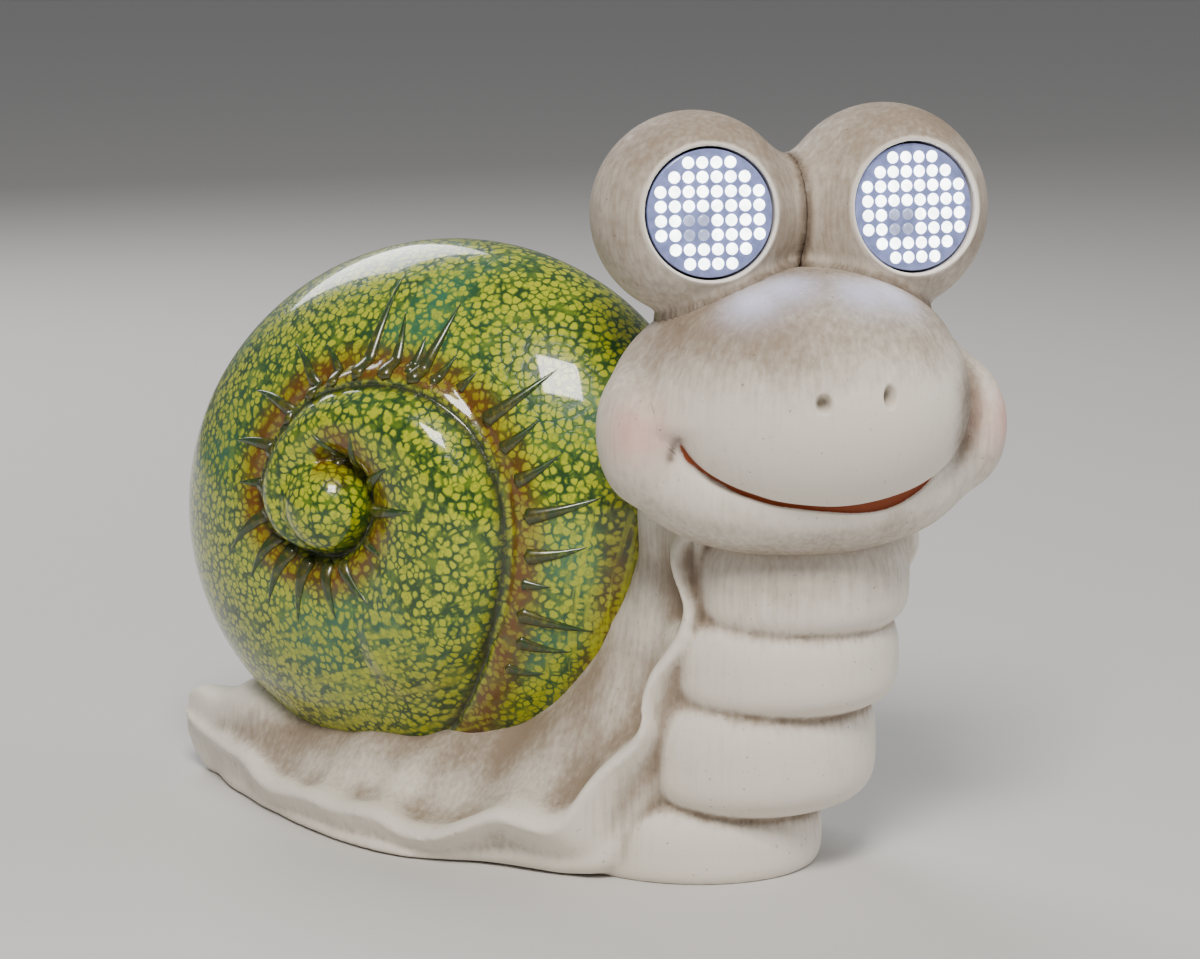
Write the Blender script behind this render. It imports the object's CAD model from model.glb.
import math

import bpy
import numpy as np
from mathutils import Matrix, Vector


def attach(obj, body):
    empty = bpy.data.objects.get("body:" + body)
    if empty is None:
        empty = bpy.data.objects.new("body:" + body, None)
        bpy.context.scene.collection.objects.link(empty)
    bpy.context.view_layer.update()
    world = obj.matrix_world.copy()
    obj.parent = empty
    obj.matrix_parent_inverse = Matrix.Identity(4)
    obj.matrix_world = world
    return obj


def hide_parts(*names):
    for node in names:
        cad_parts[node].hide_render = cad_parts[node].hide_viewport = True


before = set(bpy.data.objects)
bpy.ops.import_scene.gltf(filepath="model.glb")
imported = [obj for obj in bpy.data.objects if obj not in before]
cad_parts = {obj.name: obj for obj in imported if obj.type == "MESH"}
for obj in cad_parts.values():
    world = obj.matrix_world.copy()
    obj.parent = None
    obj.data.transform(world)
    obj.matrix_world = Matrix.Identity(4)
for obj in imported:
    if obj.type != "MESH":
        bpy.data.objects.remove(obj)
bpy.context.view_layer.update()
mm = 0.001
stageCount = 0


def report(stage):
    global stageCount
    stageCount += 1
    print("stage", stageCount, stage)


def deselectAll():
    bpy.ops.object.select_all(action="DESELECT")


def pick(piece):
    deselectAll()
    piece.select_set(True)
    bpy.context.view_layer.objects.active = piece


def named(piece, name):
    piece.name = name
    piece.data.name = name
    return piece


def copied(piece):
    copy = piece.copy()
    copy.data = piece.data.copy()
    bpy.context.scene.collection.objects.link(copy)
    return copy


def roundBall(segments, rings, **place):
    bpy.ops.mesh.primitive_uv_sphere_add(segments=segments, ring_count=rings, radius=1, **place)
    return bpy.context.active_object


def facesOutward(piece, *steps):
    # each step is a mesh operator and its settings, done on the whole piece afterwards
    pick(piece)
    bpy.ops.object.mode_set(mode="EDIT")
    bpy.ops.mesh.select_all(action="SELECT")
    bpy.ops.mesh.normals_make_consistent(inside=False)
    for operator, settings in steps:
        operator(**settings)
    bpy.ops.object.mode_set(mode="OBJECT")


def readAll(items, key, width, kind=float):
    values = np.empty(len(items) * width, kind)
    items.foreach_get(key, values)
    return values.reshape(-1, width)


def readPoints(piece):
    return readAll(piece.data.vertices, "co", 3)


def readNormals(piece):
    return readAll(piece.data.vertex_normals, "vector", 3)


def readEdges(piece):
    return readAll(piece.data.edges, "vertices", 2, np.int64)


def faceMiddles(piece):
    return readAll(piece.data.polygons, "center", 3)


def readPaint(piece, name):
    return readAll(piece.data.attributes[name].data, "value", 1, np.float32)[:, 0]


def writePoints(piece, points):
    piece.data.vertices.foreach_set("co", np.ascontiguousarray(points).ravel())
    piece.data.update()


def paint(piece, name, values):
    layer = piece.data.attributes.get(name) or piece.data.attributes.new(name, "FLOAT", "POINT")
    layer.data.foreach_set("value", np.clip(values, 0, 1).astype(np.float32))


def averaged(values, edges, rounds):
    # each point takes the mean of its neighbours, again and again
    count = len(values)
    degree = np.bincount(edges.ravel(), minlength=count).astype(float)
    degree[degree == 0] = 1
    for _ in range(rounds):
        total = np.empty_like(values)
        for axis in range(values.shape[1]):
            column = values[:, axis]
            total[:, axis] = np.bincount(edges[:, 0], column[edges[:, 1]], count)
            total[:, axis] += np.bincount(edges[:, 1], column[edges[:, 0]], count)
        values = 0.5 * values + 0.5 * total / degree[:, None]
    return values


def hollows(piece, rounds):
    # how far a point lies below the smoothed surface, in millimetres
    points = readPoints(piece)
    smooth = averaged(points, readEdges(piece), rounds)
    return np.einsum("ij,ij->i", smooth - points, readNormals(piece)) / mm


def smoothStep(values, low, high):
    share = np.clip((values - low) / (high - low), 0, 1)
    return share * share * (3 - 2 * share)


def band(values, low, lowFull, highFull, high):
    # one between lowFull and highFull, easing to nought at low and high
    return smoothStep(values, low, lowFull) * (1 - smoothStep(values, highFull, high))


def bell(values, width):
    return np.exp(-((values / width) ** 2))


def cubic(before, here, after, beyond, share):
    # the smooth curve from here to after
    return 0.5 * (
        2 * here
        + (after - before) * share
        + (2 * before - 5 * here + 4 * after - beyond) * share**2
        + (3 * here - before - 3 * after + beyond) * share**3
    )


def through(rows, places):
    # a smooth curve through the rows, read at the places given in rows
    rows = np.asarray(rows, float)
    last = len(rows) - 1
    first = np.clip(np.floor(places).astype(int), 0, last - 1)
    share = (places - first).reshape((-1,) + (1,) * (rows.ndim - 1))

    def row(step):
        return rows[np.clip(first + step, 0, last)]

    return cubic(row(-1), row(0), row(1), row(2), share)


def ball(name, half, place, segments=96, rings=64):
    piece = named(roundBall(segments, rings), name)
    piece.scale = [size * mm for size in half]
    piece.location = [length * mm for length in place]
    return piece


def settle(piece):
    pick(piece)
    bpy.ops.object.transform_apply(location=True, rotation=True, scale=True)
    return piece


def joined(name, parts):
    deselectAll()
    for part in parts:
        part.select_set(True)
    bpy.context.view_layer.objects.active = parts[0]
    bpy.ops.object.join()
    return named(bpy.context.active_object, name)


def pressed(piece, voxel, rounds):
    # the lumps of clay become one skin, then their joints are rubbed smooth
    pick(piece)
    skin = piece.modifiers.new("oneSkin", "REMESH")
    skin.mode = "VOXEL"
    skin.voxel_size = voxel * mm
    bpy.ops.object.modifier_apply(modifier=skin.name)
    rub = piece.modifiers.new("rub", "SMOOTH")
    rub.factor = 0.5
    rub.iterations = rounds
    bpy.ops.object.modifier_apply(modifier=rub.name)
    return piece


def finished(piece, body, nodes, material):
    pick(piece)
    bpy.ops.object.shade_smooth()
    piece.data.materials.clear()
    piece.data.materials.append(material)
    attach(piece, body)
    if nodes:
        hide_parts(*nodes)
    return piece


def feed(tree, value, socket):
    if isinstance(value, bpy.types.NodeSocket):
        tree.links.new(value, socket)
    else:
        socket.default_value = value


def node(tree, kind, settings=None, **sockets):
    # a socket is named by its name, or by s and its number
    made = tree.nodes.new("ShaderNode" + kind)
    for key, value in (settings or {}).items():
        setattr(made, key, value)
    for key, value in sockets.items():
        feed(tree, value, made.inputs[int(key[1:]) if key[1:].isdigit() else key])
    return made


def newMaterial(name):
    material = bpy.data.materials.new(name)
    material.use_nodes = True
    tree = material.node_tree
    return material, tree, tree.nodes["Principled BSDF"]


def dress(tree, shader, settings):
    for key, value in settings.items():
        feed(tree, value, shader.inputs[key])


def blendColour(tree, share, low, high):
    # sockets 6 and 7 are the mix node's two colours
    low, high = ((*colour, 1) if isinstance(colour, tuple) else colour for colour in (low, high))
    return node(tree, "Mix", {"data_type": "RGBA"}, s0=share, s6=low, s7=high).outputs[2]


def calc(tree, operation, first, second):
    return node(tree, "Math", {"operation": operation}, s0=first, s1=second).outputs[0]


def times(tree, first, second):
    return calc(tree, "MULTIPLY", first, second)


def plus(tree, first, second):
    return calc(tree, "ADD", first, second)


def minus(tree, first, second):
    return calc(tree, "SUBTRACT", first, second)


def pushed(tree, value, noise, size):
    # the noise pushes the value up and down
    return plus(tree, value, times(tree, minus(tree, noise, 0.5), size))


def ramp(tree, value, low, high, lowOut=0.0, highOut=1.0):
    made = node(tree, "MapRange", {"interpolation_type": "SMOOTHSTEP"}, Value=value)
    for key, number in (("From Min", low), ("From Max", high), ("To Min", lowOut), ("To Max", highOut)):
        made.inputs[key].default_value = number
    return made.outputs[0]


def grain(tree, vector, scale, detail=4.0, roughness=0.55):
    return node(tree, "TexNoise", Vector=vector, Scale=scale, Detail=detail, Roughness=roughness).outputs[0]


def painted(tree, name):
    return node(tree, "Attribute", {"attribute_name": name}).outputs["Fac"]


def objectPlace(tree, stretch=(1, 1, 1)):
    place = node(tree, "TexCoord").outputs["Object"]
    if stretch == (1, 1, 1):
        return place
    return node(tree, "Mapping", Vector=place, Scale=stretch).outputs[0]


def relief(tree, shader, height, strength, distance):
    made = node(tree, "Bump", Strength=strength, Distance=distance, Height=height)
    dress(tree, shader, {"Normal": made.outputs[0]})


# Camera at the photograph's angle
cameraValues = dict(azimuth=-57.0, elevation=10.0, distance=1400.0, target=(0, -20, 130.7), lens=116.67)

turn, rise = (math.radians(cameraValues[key]) for key in ("azimuth", "elevation"))
backward = Vector((math.sin(turn) * math.cos(rise), -math.cos(turn) * math.cos(rise), math.sin(rise)))
cameraData = bpy.data.cameras.new("viewCamera")
cameraData.lens = cameraValues["lens"]
cameraData.sensor_width = 36
viewCamera = bpy.data.objects.new("viewCamera", cameraData)
bpy.context.scene.collection.objects.link(viewCamera)
viewCamera.location = (Vector(cameraValues["target"]) + backward * cameraValues["distance"]) * mm
viewCamera.rotation_mode = "QUATERNION"
viewCamera.rotation_quaternion = (-backward).to_track_quat("-Z", "Y")
bpy.context.scene.camera = viewCamera
report("camera")

# Glazes and paints: colours, grains as (scale, detail, roughness), and how far the grains push the
# edges of a paint
ceramicPaint = dict(
    brushed=(0.78, 0.72, 0.63),
    wash=(0.27, 0.205, 0.148),
    grime=(0.060, 0.043, 0.030),
    lipPaint=(0.25, 0.050, 0.012),
    blush=(0.72, 0.34, 0.30),
    glow=(0.62, 0.64, 0.86),
    streakScale=(520, 520, 34), clouds=(28.0, 6, 0.62), mottle=(210.0, 5, 0.7), specks=(640.0, 2, 0.5),
    cloudPush=0.75, streakPush=0.55, mottlePush=0.35, lipPush=0.5,
    blushShare=0.6, glowShare=0.75, speckShare=0.55, mottleBumps=0.5, streakBumps=0.3,
    washRange=(0.05, 1.0), lipRange=(0.42, 0.60), speckRange=(0.70, 0.78),
    dirtRange=(0.2, 0.75, 0.45, 1.25), roughRange=(0.3, 0.7, 0.52, 0.72),
    specular=0.35, relief=0.35, reliefDepth=0.0005,
)


def makeCeramic():
    look = ceramicPaint
    material, tree, shader = newMaterial("bisqueCeramic")
    place = objectPlace(tree)
    streaks = grain(tree, objectPlace(tree, look["streakScale"]), 1.0, 5)
    clouds, mottle = (grain(tree, place, *look[name]) for name in ("clouds", "mottle"))
    washShare = painted(tree, "wash")
    for noise, push in ((clouds, "cloudPush"), (streaks, "streakPush"), (mottle, "mottlePush")):
        washShare = pushed(tree, washShare, noise, look[push])
    colour = blendColour(tree, ramp(tree, washShare, *look["washRange"]), look["brushed"], look["wash"])
    for name in ("blush", "glow"):
        colour = blendColour(tree, times(tree, painted(tree, name), look[name + "Share"]), colour, look[name])
    dirtShare = times(tree, painted(tree, "dirt"), ramp(tree, mottle, *look["dirtRange"]))
    colour = blendColour(tree, dirtShare, colour, look["grime"])
    specks = ramp(tree, grain(tree, place, *look["specks"]), *look["speckRange"])
    colour = blendColour(tree, times(tree, specks, look["speckShare"]), colour, look["grime"])
    lipShare = ramp(tree, pushed(tree, painted(tree, "lipPaint"), mottle, look["lipPush"]), *look["lipRange"])
    colour = blendColour(tree, lipShare, colour, look["lipPaint"])
    roughness = ramp(tree, mottle, *look["roughRange"])
    dress(tree, shader, {
        "Base Color": colour, "Roughness": roughness, "Specular IOR Level": look["specular"]
    })
    height = plus(tree, times(tree, mottle, look["mottleBumps"]), times(tree, streaks, look["streakBumps"]))
    relief(tree, shader, minus(tree, height, specks), look["relief"], look["reliefDepth"])
    return material


shellGlaze = dict(
    yellow=(0.43, 0.47, 0.015),
    leaf=(0.120, 0.20, 0.010),
    green=(0.018, 0.058, 0.010),
    teal=(0.040, 0.19, 0.11),
    amber=(0.140, 0.046, 0.0015),
    thorn=(0.014, 0.046, 0.007),
    crust=(0.022, 0.030, 0.010),
    wobbleScale=420.0, wobble=0.0007, density=(24.0, 3, 0.55), densityPush=0.55,
    fineCells=330.0, fineLift=0.22, wideCells=185.0, wideLift=0.045, coreShare=0.62,
    spotEdge=(-0.11, 0.11), spotFill=(0.0, 0.24), shade=(150.0, 4, 0.6), shadeRange=(0.44, 0.70),
    clouds=(34.0, 3, 0.5), cloudRange=(0.34, 0.66), groundTeal=0.7, spotTeal=0.30, ringShare=0.40,
    ringRise=(0.10, 0.15), ringFall=(0.27, 0.20),
    amberGrain=(130.0, 4, 0.6), amberRange=(0.28, 0.60, 0.5, 1.0), amberOnSpots=(0.0, 0.26, 1.0, 0.78),
    amberShare=0.92, streakGrain=(1.0, 3, 0.5), streakRange=(0.50, 0.66), streakShare=0.6,
    crustGrain=(420.0, 3, 0.6), crustRange=(0.22, 0.50, 0.55, 1.0), beads=(620.0, 3, 0.6),
    spotBumps=0.15, relief=0.5, reliefDepth=0.0008,
    shine={"Roughness": 0.30, "Specular IOR Level": 0.25, "Coat Weight": 0.8, "Coat Roughness": 0.05},
    thornMottle=(380.0, 4, 0.6), leafRange=(0.50, 0.76), rootRange=(0.30, 0.60), rootShare=0.35,
    thornRelief=0.15, thornReliefDepth=0.0004,
    thornShine={"Roughness": 0.30, "Coat Weight": 0.6, "Coat Roughness": 0.05},
)
# brushed streaks of glaze: painted name, turn round X and noise scale
glazeStreaks = (("streakLow", 0.32, (160, 16, 330)), ("streakRim", 1.36, (160, 16, 520)))


def roundCells(tree, place, scale):
    # above nought inside a rounded cell, below it in the net between the cells
    cells = dict(Vector=place, Scale=scale, Randomness=1.0)
    edge = node(tree, "TexVoronoi", {"feature": "DISTANCE_TO_EDGE"}, **cells).outputs["Distance"]
    core = node(tree, "TexVoronoi", **cells).outputs["Distance"]
    return minus(tree, edge, times(tree, core, shellGlaze["coreShare"])), core


def makeShellGlaze():
    look = shellGlaze
    material, tree, shader = newMaterial("shellGlaze")
    place = objectPlace(tree)
    wobble = node(tree, "TexNoise", Vector=place, Scale=look["wobbleScale"], Detail=2.0).outputs["Color"]
    bent = node(
        tree, "MixRGB", {"blend_type": "LINEAR_LIGHT"}, Fac=look["wobble"], Color1=place, Color2=wobble
    ).outputs[0]
    density = grain(tree, place, *look["density"])
    drift = times(tree, minus(tree, density, 0.5), look["densityPush"])
    fineCell, _ = roundCells(tree, bent, look["fineCells"])
    wideCell, cores = roundCells(tree, bent, look["wideCells"])
    fineLevel = plus(tree, plus(tree, fineCell, drift), look["fineLift"])
    wideLevel = plus(tree, minus(tree, wideCell, drift), look["wideLift"])
    level = calc(tree, "MAXIMUM", fineLevel, wideLevel)
    spot = ramp(tree, level, *look["spotEdge"])
    ring = times(tree, ramp(tree, cores, *look["ringRise"]), ramp(tree, cores, *look["ringFall"]))
    shade = ramp(tree, grain(tree, place, *look["shade"]), *look["shadeRange"])
    ground = blendColour(tree, shade, look["green"], look["leaf"])
    clouds = ramp(tree, grain(tree, place, *look["clouds"]), *look["cloudRange"])
    tealShare = times(tree, painted(tree, "teal"), clouds)
    ground = blendColour(tree, times(tree, tealShare, look["groundTeal"]), ground, look["teal"])
    blob = blendColour(tree, ramp(tree, level, *look["spotFill"]), look["leaf"], look["yellow"])
    blob = blendColour(tree, times(tree, ring, look["ringShare"]), blob, look["leaf"])
    blob = blendColour(tree, times(tree, tealShare, look["spotTeal"]), blob, look["teal"])
    colour = blendColour(tree, spot, ground, blob)
    amberNoise = ramp(tree, grain(tree, place, *look["amberGrain"]), *look["amberRange"])
    amberShare = times(tree, painted(tree, "amber"), amberNoise)
    amberShare = times(tree, amberShare, ramp(tree, level, *look["amberOnSpots"]))
    colour = blendColour(tree, times(tree, amberShare, look["amberShare"]), colour, look["amber"])
    for name, turned, stretch in glazeStreaks:
        run = node(tree, "Mapping", Vector=place, Rotation=(turned, 0, 0)).outputs[0]
        run = node(tree, "Mapping", Vector=run, Scale=stretch).outputs[0]
        brushed = ramp(tree, grain(tree, run, *look["streakGrain"]), *look["streakRange"])
        streak = times(tree, painted(tree, name), brushed)
        colour = blendColour(tree, times(tree, streak, look["streakShare"]), colour, look["yellow"])
    crustNoise = ramp(tree, grain(tree, place, *look["crustGrain"]), *look["crustRange"])
    colour = blendColour(tree, times(tree, painted(tree, "crust"), crustNoise), colour, look["crust"])
    dress(tree, shader, {"Base Color": colour, **look["shine"]})
    beads = times(tree, painted(tree, "crust"), grain(tree, place, *look["beads"]))
    height = plus(tree, times(tree, spot, look["spotBumps"]), beads)
    relief(tree, shader, height, look["relief"], look["reliefDepth"])
    return material


def makeThornGlaze():
    look = shellGlaze
    material, tree, shader = newMaterial("thornGlaze")
    mottle = grain(tree, objectPlace(tree), *look["thornMottle"])
    colour = blendColour(tree, ramp(tree, mottle, *look["leafRange"]), look["thorn"], look["leaf"])
    rootShare = times(tree, painted(tree, "root"), ramp(tree, mottle, *look["rootRange"]))
    colour = blendColour(tree, times(tree, rootShare, look["rootShare"]), colour, look["amber"])
    dress(tree, shader, {"Base Color": colour, **look["thornShine"]})
    relief(tree, shader, mottle, look["thornRelief"], look["thornReliefDepth"])
    return material


bisqueCeramic = makeCeramic()
shellGlazeMaterial = makeShellGlaze()
thornGlaze = makeThornGlaze()
report("glazes")

# Head: clay balls pressed together, drawn to a smooth form, with mouth, nostrils and folds cut in
headValues = dict(
    place=(-14, -112, 162),
    turn=-41,
    muzzle=((53.5, 42.5, 43.5), (0, -13.8, 9.2)),
    jaw=((58.7, 43.7, 26.2), (0, 1.4, -20.0)),
    cranium=((65.5, 42.5, 44.1), (0, 12.0, 4.6)),
    cheek=((10.4, 16.8, 19.0), (61.7, -2.0, -3.1)),
    softness=14.0,
    lipSoftness=2.5,
    browSoftness=14.0,
    browHeights=(14, 40),
    cornerSoftness=12.0,
    cornerPlace=((34, 46), (-6, 6)),  # how far to the snail's right, and how high
    voxel=1.5,
    rubs=6,
    finer=((7, 6), (4, 4.5)),  # faces are cut finer this near the mouth and the nostrils, round by round
    face=-8,  # the mouth lies in front of this, and the nostrils in front of the next
    nose=-20,
    mouthDepth=3.0,
    mouthWidth=1.0,
    mouthEnds=(-54, -50, 40, 48),
    openDepth=1.7,
    openEnds=(-40, -30, 34, 42),
    lipHeight=(0.5, 3.2),  # at the corners, and what is added at the lip's fullest place
    lipFullest=(16, 17),
    foldDepth=0.3,
    foldWidth=1.5,
    tuckDepth=1.3,
    tuckEnds=(-50, -38, 40, 48),
    nostrils=((-11.5, 14.5, 2.3, 2.6), (11.8, 16.0, 2.0, 3.2)),
    nostrilDepth=5.0,
    dirt=dict(balls=0.75, fold=0.55, nostrils=0.5, line=0.75, crease=0.34),
    wash=dict(all=0.06, forehead=0.62, under=0.40, sides=0.24, above=0.20),
)
# the mouth's line seen from the front, from the snail's right corner to its left
mouthLine = [
    (-52, -1.6), (-48.4, -7.8), (-43.7, -12.8), (-37.1, -16.6), (-30, -19.3), (-22.4, -21.6),
    (-11.3, -23.2), (-1.3, -23.8), (9, -23.0), (19.9, -21.1), (29.7, -18.4), (40.9, -13.4), (46, -9.5),
]
mouthCurve = through(mouthLine, np.linspace(0, len(mouthLine) - 1, 49))
cornerFold = [(-52, -1.0), (-53.2, -7.5)]
headPlace = Vector(headValues["place"]) * mm
headTurn = Matrix.Rotation(math.radians(headValues["turn"]), 3, "Z")
headAxes = np.array(headTurn)


def headLocal(points):
    return (points - np.array(headPlace)) @ headAxes / mm


def headWorld(points):
    return (np.asarray(points, float) * mm) @ headAxes.T + np.array(headPlace)


def ovalDistance(local, half, place):
    # rough distance in millimetres from an oval ball's skin
    offset = local - np.array(place)
    half = np.array(half, float)
    reach = np.linalg.norm(offset / half, axis=1)
    slope = np.linalg.norm(offset / half**2, axis=1)
    return (reach - 1) * reach / np.maximum(slope, 1e-9)


def blended(first, second, softness):
    share = np.clip(softness - np.abs(first - second), 0, None) / softness
    return np.minimum(first, second) - share * share * softness / 4


def backOfHead(local):
    jaw, cranium = (ovalDistance(local, *headValues[name]) for name in ("jaw", "cranium"))
    skin = blended(jaw, cranium, headValues["softness"])
    half, place = headValues["cheek"]
    for side in (-1, 1):
        cheek = ovalDistance(local, half, (side * place[0], place[1], place[2]))
        skin = blended(skin, cheek, headValues["softness"])
    return skin


def headDistance(local):
    brow = headValues["browSoftness"] * smoothStep(local[:, 2], *headValues["browHeights"])
    aside, above = headValues["cornerPlace"]
    corner = smoothStep(-local[:, 0], *aside) * smoothStep(local[:, 2], *above)
    corner = headValues["cornerSoftness"] * corner
    softness = headValues["lipSoftness"] + np.maximum(brow, corner)
    return blended(backOfHead(local), ovalDistance(local, *headValues["muzzle"]), softness)


def drawnTo(local, distanceOf, steps=8):
    # points slide along the steepest way to the surface where the distance is nought
    step = 0.02
    for _ in range(steps):
        here = distanceOf(local)
        slope = np.stack([
            (distanceOf(local + offset) - here) / step for offset in np.eye(3) * step
        ], axis=1)
        size = np.maximum(np.sum(slope**2, axis=1), 0.4)
        local = local - slope * (np.clip(here, -4, 4) / size)[:, None]
    return local


def refine(piece, chosen):
    # the faces chosen in code are cut finer
    pick(piece)
    mesh = piece.data
    mesh.vertices.foreach_set("select", np.zeros(len(mesh.vertices), bool))
    mesh.edges.foreach_set("select", np.zeros(len(mesh.edges), bool))
    mesh.polygons.foreach_set("select", chosen)
    bpy.context.tool_settings.mesh_select_mode = (False, False, True)
    bpy.ops.object.mode_set(mode="EDIT")
    bpy.ops.mesh.subdivide(number_cuts=1)
    bpy.ops.object.mode_set(mode="OBJECT")
    bpy.context.tool_settings.mesh_select_mode = (True, False, False)


def toLine(across, up, line):
    # distance to a line of points in a plane, and how far along it the nearest place lies
    line = np.array(line, float)
    nearest, along = np.full(len(across), 1e3), np.zeros(len(across))
    for index in range(len(line) - 1):
        start, step = line[index], line[index + 1] - line[index]
        share = ((across - start[0]) * step[0] + (up - start[1]) * step[1]) / (step @ step)
        share = np.clip(share, 0, 1)
        reach = np.hypot(across - start[0] - share * step[0], up - start[1] - share * step[1])
        closer = reach < nearest
        nearest[closer] = reach[closer]
        along[closer] = index + share[closer]
    return nearest, along


def mouthFrame(local):
    # distance from the mouth's line, and how far below it a point lies
    inFront = local[:, 1] < headValues["face"]
    distance, _ = toLine(local[:, 0], local[:, 2], mouthCurve)
    xs, zs = mouthCurve.T
    below = np.interp(local[:, 0], xs, zs) - local[:, 2]
    return np.where(inFront, distance, 1e3), below


def fromNostril(local, across, up, halfWidth=1, halfHeight=1):
    return np.hypot((local[:, 0] - across) / halfWidth, (local[:, 2] - up) / halfHeight)


def mouthShares(local):
    # how strongly the lips' line, the open lip, the corner's fold and the tuck under the lip are felt
    xs, inFront = local[:, 0], local[:, 1] < headValues["face"]
    distance, below = mouthFrame(local)
    line = bell(distance, headValues["mouthWidth"]) * band(xs, *headValues["mouthEnds"])
    least, more = headValues["lipHeight"]
    fullest, span = headValues["lipFullest"]
    lipHeight = least + more * bell(xs - fullest, span)
    openLip = band(below, -0.9, 0.1, lipHeight, lipHeight + 0.9) * (distance < 8)
    openLip = openLip * band(xs, *headValues["openEnds"])
    corner, _ = toLine(xs, local[:, 2], cornerFold)
    fold = bell(corner, headValues["foldWidth"]) * inFront
    tuck = band(below, -0.5, 1.2, 2.5, 13) * band(xs, *headValues["tuckEnds"]) * inFront
    return line, openLip, fold, tuck


def finerFaces(middles, nearMouth, nearNostril):
    inFront = middles[:, 1] < headValues["face"]
    toFold, _ = toLine(middles[:, 0], middles[:, 2], cornerFold)
    finer = (mouthFrame(middles)[0] < nearMouth) | ((toFold < nearNostril) & inFront)
    for across, up, _, _ in headValues["nostrils"]:
        near = fromNostril(middles, across, up) < nearNostril
        finer |= near & (middles[:, 1] < headValues["nose"])
    return finer


# on the cheeks, and on the brow under the lit eyes
paintSpots = dict(
    blush=([(-66, -18, 1), (69, -12, 0)], 13),
    glow=([(-25, -25, 44), (-14, -24, 48), (10, -31, 47), (20, -27, 45)], 11),
)


def washed(shares, **places):
    # each place adds its own share of wash to what lies all over
    return shares["all"] + sum(shares[name] * share for name, share in places.items())


def makeHead():
    lumps = [headValues[name] for name in ("muzzle", "jaw", "cranium")]
    half, (across, back, up) = headValues["cheek"]
    lumps += [(half, (side * across, back, up)) for side in (-1, 1)]
    balls = []
    for half, place in lumps:
        lump = ball("clay", half, place)
        lump.location = headPlace + headTurn @ lump.location
        lump.rotation_euler[2] = math.radians(headValues["turn"])
        balls.append(settle(lump))
    head = pressed(joined("snail_head", balls), headValues["voxel"], headValues["rubs"])
    writePoints(head, headWorld(drawnTo(headLocal(readPoints(head)), headDistance, 5)))
    for near in headValues["finer"]:
        refine(head, finerFaces(headLocal(faceMiddles(head)), *near))
    local = drawnTo(headLocal(readPoints(head)), headDistance, 3)
    writePoints(head, headWorld(local))
    line, openLip, fold, tuck = mouthShares(local)
    cornerEase = 0.4 + 0.6 * smoothStep(local[:, 0], -50, -40)
    depth = np.maximum(headValues["mouthDepth"] * line * cornerEase, headValues["openDepth"] * openLip)
    depth = np.maximum(depth, headValues["foldDepth"] * fold) + headValues["tuckDepth"] * tuck
    holes = [np.exp(-(fromNostril(local, *nostril) ** 4)) for nostril in headValues["nostrils"]]
    holes = np.max(holes, axis=0) * (local[:, 1] < headValues["nose"])
    depth = np.maximum(depth, headValues["nostrilDepth"] * holes)
    points = headWorld(local) - readNormals(head) * (depth * mm)[:, None]
    writePoints(head, points)
    paintCeramic(head, headWash)
    crease = 1 - smoothStep(np.abs(ovalDistance(local, *headValues["muzzle"]) - 1), 0.5, 8)
    crease = crease * smoothStep(local[:, 0], 36, 48) * band(local[:, 2], -22, -6, 10, 28)
    nearBall = np.minimum(ballDistance(local, -1), ballDistance(local, 1))
    places = dict(
        balls=1 - smoothStep(nearBall, 0.4, 3.6), fold=fold, nostrils=holes,
        line=line * (1 - 0.6 * openLip), crease=crease,
    )
    dirt = [headValues["dirt"][name] * share for name, share in places.items()]
    paint(head, "dirt", np.max([readPaint(head, "dirt"), *dirt], axis=0))
    paint(head, "wash", headWash(points) + 0.7 * crease + 0.3 * fold)
    paint(head, "lipPaint", openLip + 0.7 * line * (1 - smoothStep(local[:, 0], 30, 40)))
    for name, (spots, size) in paintSpots.items():
        reaches = [np.linalg.norm((local - np.array(spot)) / (1, 1, 0.8), axis=1) for spot in spots]
        paint(head, name, bell(np.min(reaches, axis=0), size))
    return finished(head, "figure", ["head"], bisqueCeramic)


def headWash(points):
    local = headLocal(points)
    forehead = smoothStep(local[:, 2], 8, 38)
    under = 1 - smoothStep(local[:, 2], -46, -30)
    sides = smoothStep(ovalDistance(local, *headValues["muzzle"]), 0.5, 5) * (1 - forehead)
    above = smoothStep(-local[:, 0], -6, 50) * smoothStep(local[:, 2], 0, 24)
    return washed(headValues["wash"], forehead=forehead, under=under, sides=sides, above=above)


def paintCeramic(piece, washOf, spread=36):
    # dirt lies in fine and broad hollows, wash in broad ones, and broad edges are rubbed bare
    fine, broad = hollows(piece, 4), hollows(piece, spread)
    reach = spread / 36
    dirt = 0.8 * smoothStep(fine, 0.06, 0.45) + 0.4 * smoothStep(broad, 0.5 * reach, 2.4 * reach)
    edge = smoothStep(-broad, 0.12 * reach, 1.2 * reach)
    low = smoothStep(broad, 0.3 * (1 - reach), 1.1 * math.sqrt(reach))
    paint(piece, "dirt", dirt)
    paint(piece, "wash", washOf(readPoints(piece)) + 0.7 * low - 0.45 * edge)
    for name in ("lipPaint", "blush", "glow"):
        paint(piece, name, np.zeros(len(fine)))


# Eye balls: a lathed hollow ball each, flared where it meets the head and its neighbour
ballValues = dict(
    radii=(35.2, 36.38), wall=6.0, spread=34.5, back=17.4, height=70.7, splay=4.0, pitch=6.0,
    frontHole=22.5, rearHole=17.0, edge=1.3, steps=200, gap=0.12, headSoftness=6.0, pairSoftness=16.0,
    skinRounds=30, skinShare=0.8, flare=(-0.5, 6), skinDepths=(2.4, 0.3),
    seamDepth=0.8, pairSeam=1.1, headSeam=1.0, rim=(0.9, 2.2),
    wash=dict(all=0.66, top=0.14, low=-0.12), seamWash=0.25, rimWash=-0.6, seamDirt=0.62,
)


def ballMiddle(side):
    return np.array((side * ballValues["spread"], ballValues["back"], ballValues["height"]))


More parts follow.
